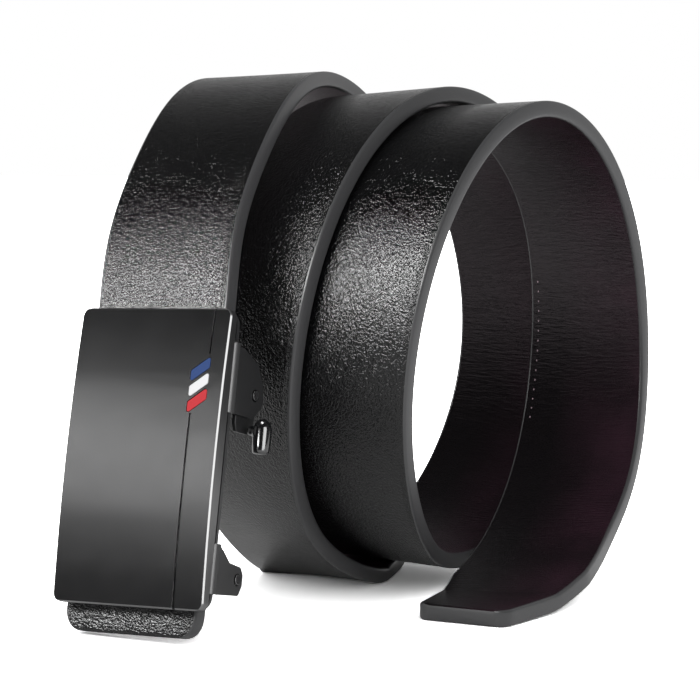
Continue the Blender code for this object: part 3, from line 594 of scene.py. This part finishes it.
def build_strap(path, materials):
    """Build the strap in fine steps, as two skins with its length and width as coordinates."""
    bm = bmesh.new()
    layer = bm.loops.layers.uv.new("strap")
    rings = []
    notes = []
    for mark in section_marks(path):
        points, ring_notes = strap_section(path, mark)
        rings.append([bm.verts.new(point) for point in points])
        notes.append(ring_notes)
    size = len(rings[0])
    for r in range(len(rings) - 1):
        for i in range(size):
            j = (i + 1) % size
            corners = ((r, i), (r, j), (r + 1, j), (r + 1, i))
            face = bm.faces.new([rings[a][b] for a, b in corners])
            face.material_index = BANDS.index(notes[r][i][2])
            face.smooth = True
            for loop, (a, b) in zip(face.loops, corners):
                loop[layer].uv = notes[a][b][:2]
    for ring in (rings[0], rings[-1]):
        face = bm.faces.new(ring)
        face.material_index = BANDS.index("edge")
    bmesh.ops.recalc_face_normals(bm, faces=bm.faces)
    made = [strap_piece(bm, name, bands, materials) for name, bands in STRAP_PIECES]
    bm.free()
    return made


def build_glint_marks(path, made):
    """Build the row of small marks along the lining, as one mesh of low domes coloured light as painted
    glints.
    """
    bm = bmesh.new()
    mark = path.length_at(MARKS_FROM)
    while mark < path.length_at(MARKS_TO):
        centre, width, out = path.axes_at(path.angle_at(mark))
        place = centre - width * (STRAP_WIDTH / 2 - MARK_INSET) - out * STRAP_THICK / 2
        turn = Matrix((width, out.cross(width), out)).transposed().to_4x4()
        sizes = (MARK_RADIUS, MARK_RADIUS * MARK_LENGTH_SHARE, MARK_RADIUS * MARK_RISE_SHARE, 1.0)
        bmesh.ops.create_uvsphere(
            bm, u_segments=10, v_segments=6, radius=1.0,
            matrix=Matrix.Translation(place + COIL_CENTRE) @ turn @ Matrix.Diagonal(sizes))
        mark += MARK_PITCH
    mesh = bpy.data.meshes.new("lining_glint_marks")
    bm.to_mesh(mesh)
    bm.free()
    mesh.shade_smooth()
    mesh.materials.append(made)
    marks = add_object("lining_glint_marks", mesh)
    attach(marks, "belt")
    return marks


# Buckle

# The direction that the plate faces, and how squarely a face has to point that way to be its front
PLATE_FRONT = Vector((0.0, -0.9698, 0.2437))
FRONT_FROM = 0.97

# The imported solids' triangles are welded and joined to flat faces before their edges are rounded.
WELD_DISTANCE = 0.004 * MM
FLAT_WITHIN = 0.6
BEVEL_PARTS = 3
BEVEL_FROM = 35.0

# How far the edges of each kind of piece are rounded, and how finely the knob is softened
PLATE_BEVEL = 0.1 * MM
STRIPE_BEVEL = 0.06 * MM
SHEET_BEVEL = 0.15 * MM
CLAMP_BEVEL = 0.12 * MM
LEVER_BEVEL = 0.1 * MM
KNOB_SOFTNESS = 3

# The plate's three enamelled stripes
STRIPE_ROUGHNESS = 0.45
STRIPE_GLOSS = 0.04
STRIPES = (
    ("blue", (0.030, 0.066, 0.20)),
    ("white", (0.78, 0.78, 0.79)),
    ("red", (0.55, 0.034, 0.043)),
)


def joined_faces(node):
    """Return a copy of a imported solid's mesh, with its flat faces whole and shaded smooth."""
    mesh = frame["nodes"][node].data.copy()
    bm = bmesh.new()
    bm.from_mesh(mesh)
    bmesh.ops.remove_doubles(bm, verts=bm.verts, dist=WELD_DISTANCE)
    bmesh.ops.dissolve_limit(bm, angle_limit=math.radians(FLAT_WITHIN), verts=bm.verts, edges=bm.edges)
    for face in bm.faces:
        face.smooth = True
    bm.to_mesh(mesh)
    bm.free()
    mesh.materials.clear()
    return mesh


def dress(node, body, made, bevel, soft=0, edge_finish=None):
    """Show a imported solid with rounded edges, or softened all over, and with its own finish."""
    mesh = joined_faces(node)
    mesh.materials.append(made)
    if edge_finish:
        mesh.materials.append(edge_finish)
        for face in mesh.polygons:
            face.material_index = 0 if face.normal.dot(PLATE_FRONT) > FRONT_FROM else 1
    shown = add_object(node + "_finish", mesh)
    if soft:
        softened = shown.modifiers.new("softened", "SUBSURF")
        softened.levels = soft
        softened.render_levels = soft
    else:
        rounding = shown.modifiers.new("rounding", "BEVEL")
        rounding.width = bevel
        rounding.segments = BEVEL_PARTS
        rounding.limit_method = "ANGLE"
        rounding.angle_limit = math.radians(BEVEL_FROM)
        shown.modifiers.new("shading", "WEIGHTED_NORMAL")
    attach(shown, body)
    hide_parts(node)
    return shown


# Stage and lights

# The floor's tone in reflections and as the camera sees it
FLOOR_BOUNCE = 0.9
FLOOR_SEEN = 3.2
FLOOR_SIZE = 12.0
FLOOR_DROP = 0.05 * MM

# How strongly the surroundings show to the camera, in matt tones and in reflections
WORLD_STRENGTHS = (("camera", 1.0), ("diffuse", 1.2), ("glossy", 1.0))

# The reflected grey of the surroundings at the front and the back, and in between
REFLECTED_ENDS = (0.01, 0.7)
REFLECTED_BETWEEN = ((0.55, 0.02), (0.80, 0.12))


def add_floor():
    """Add a wide white floor, just below the object."""
    bpy.ops.mesh.primitive_plane_add(size=FLOOR_SIZE, location=(0, 0, -FLOOR_DROP))
    floor = bpy.context.object
    floor.name = "floor"
    made, tree, shader = new_material("floor_white")
    set_inputs(shader, Roughness=0.8, Specular_IOR_Level=0.0)
    path = tree.nodes.new("ShaderNodeLightPath")
    tone = ranged(tree, path.outputs["Is Camera Ray"], 0.0, 1.0, FLOOR_BOUNCE, FLOOR_SEEN)
    tree.links.new(tone, shader.inputs["Base Color"])
    floor.data.materials.append(made)


def add_world():
    """White surroundings that light the floor, and darker ones in the reflections."""
    world = bpy.data.worlds.new("studio")
    bpy.context.scene.world = world
    world.use_nodes = True
    tree = world.node_tree
    tree.nodes.clear()
    output = tree.nodes.new("ShaderNodeOutputWorld")
    path = tree.nodes.new("ShaderNodeLightPath")
    where = tree.nodes.new("ShaderNodeTexCoord")
    apart = tree.nodes.new("ShaderNodeSeparateXYZ")
    tree.links.new(where.outputs["Generated"], apart.inputs["Vector"])
    ramp = tree.nodes.new("ShaderNodeValToRGB")
    tree.links.new(ranged(tree, apart.outputs["Y"], -1.0, 1.0, 0.0, 1.0), ramp.inputs["Fac"])
    stops = ramp.color_ramp.elements
    for stop, shade in zip(stops, REFLECTED_ENDS):
        stop.color = (shade, shade, shade, 1.0)
    for place, shade in REFLECTED_BETWEEN:
        stop = stops.new(place)
        stop.color = (shade, shade, shade, 1.0)
    parts = {}
    for name, strength in WORLD_STRENGTHS:
        parts[name] = tree.nodes.new("ShaderNodeBackground")
        parts[name].inputs["Strength"].default_value = strength
        parts[name].inputs["Color"].default_value = (1.0, 1.0, 1.0, 1.0)
    tree.links.new(ramp.outputs["Color"], parts["glossy"].inputs["Color"])
    first = tree.nodes.new("ShaderNodeMixShader")
    tree.links.new(path.outputs["Is Glossy Ray"], first.inputs["Fac"])
    tree.links.new(parts["diffuse"].outputs["Background"], first.inputs[1])
    tree.links.new(parts["glossy"].outputs["Background"], first.inputs[2])
    second = tree.nodes.new("ShaderNodeMixShader")
    tree.links.new(path.outputs["Is Camera Ray"], second.inputs["Fac"])
    tree.links.new(first.outputs["Shader"], second.inputs[1])
    tree.links.new(parts["camera"].outputs["Background"], second.inputs[2])
    tree.links.new(second.outputs["Shader"], output.inputs["Surface"])


# Each row is a softbox: its direction from the object in degrees, how far off it is, its size and
# its power. Each lights only one group of pieces, and only the last one shows in matt tones.
SOFTBOX_COLUMNS = ("name", "azimuth", "elevation", "distance", "wide", "high", "power", "lights", "matt")
SOFTBOXES = (
    ("leather_softbox", -29, 28, 1.3, 1.5, 0.14, 34.0, "leather", False),
    ("buckle_softbox", -33, 14.5, 1.3, 1.5, 0.18, 24.0, "buckle", False),
    ("buckle_side_softbox", 60, 12, 0.9, 0.55, 0.7, 8.0, "buckle", False),
    ("buckle_top_softbox", -20, 78, 0.9, 0.5, 0.3, 6.0, "buckle", False),
    ("right_softbox", 72, 2, 0.5, 0.25, 0.4, 1.9, "lining", True),
)


def add_softboxes(groups):
    """Place the softboxes, each facing the object, with the pieces that each of them lights."""
    linked = {}
    for name, pieces in groups.items():
        linked[name] = bpy.data.collections.new("lit_" + name)
        for piece in pieces:
            linked[name].objects.link(piece)
    for values in SOFTBOXES:
        row = dict(zip(SOFTBOX_COLUMNS, values))
        data = bpy.data.lights.new(row["name"], "AREA")
        data.shape = "RECTANGLE"
        data.size = row["wide"]
        data.size_y = row["high"]
        data.energy = row["power"]
        light = add_object(row["name"], data)
        turn = look_matrix(row["azimuth"], row["elevation"])
        back = turn.to_3x3() @ Vector((0, 0, 1))
        light.matrix_world = Matrix.Translation(COIL_CENTRE + back * row["distance"]) @ turn
        light.visible_camera = False
        light.visible_diffuse = row["matt"]
        light.light_linking.receiver_collection = linked[row["lights"]]


# Put it together

path = StrapPath()
leather, lining = build_strap(path, (outer_leather(), edge_paint(), inner_leather()))
# The marks' light colour is a painted glint
marks = build_glint_marks(path, hard_finish("painted_glint_mark", (0.30, 0.22, 0.25), roughness=0.5))

plate_finish = hard_finish("plate_satin", (0.006, 0.006, 0.0065), roughness=0.21, grain=0.2, gloss=0.11)
frame_finish = hard_finish("frame_black", (0.014, 0.014, 0.015), roughness=0.36, ior=1.7, grain=0.15)
pin_finish = hard_finish("pin_black", (0.02, 0.02, 0.021), roughness=0.14, ior=2.3)
knob_finish = hard_finish("knob_gloss", (0.006, 0.006, 0.007), roughness=0.15, coat=0.3, ior=1.8)
plate_edge = hard_finish("plate_edge", (0.01, 0.01, 0.011), roughness=0.3, ior=2.4)

buckle = [dress("face_plate", "belt", plate_finish, PLATE_BEVEL, edge_finish=plate_edge)]
for tone, color in STRIPES:
    enamel = hard_finish("enamel_" + tone, color, STRIPE_ROUGHNESS, gloss=STRIPE_GLOSS)
    buckle.append(dress("stripe_" + tone, "belt", enamel, STRIPE_BEVEL))

# The other pieces of the buckle: node, finish, slot, bevel and how much it is softened
BUCKLE_ROWS = (
    ("buckle_frame", frame_finish, "frame_steel", SHEET_BEVEL, 0),
    ("clamp_pin", pin_finish, "pin_steel", SHEET_BEVEL, 0),
    ("strap_clamp", frame_finish, "frame_steel", CLAMP_BEVEL, 0),
    ("lever_pin", pin_finish, "pin_steel", LEVER_BEVEL, 0),
    ("pawl", frame_finish, "frame_steel", LEVER_BEVEL, 0),
    ("release_lever", frame_finish, "frame_steel", LEVER_BEVEL, 0),
    ("lever_knob", knob_finish, "knob_metal", 0, KNOB_SOFTNESS),
    ("torsion_spring", pin_finish, "pin_steel", LEVER_BEVEL, 0),
)
lever_pieces = frame["record"]["behaviour"]["bodies"]["lever"]
for node, finish, slot, bevel, soft in BUCKLE_ROWS:
    body = "lever" if node in lever_pieces else "belt"
    buckle.append(dress(node, body, finish, bevel, soft))

add_floor()
add_world()
add_softboxes({"leather": [leather], "lining": [lining, marks], "buckle": buckle})
bpy.context.scene.view_settings.view_transform = "Standard"
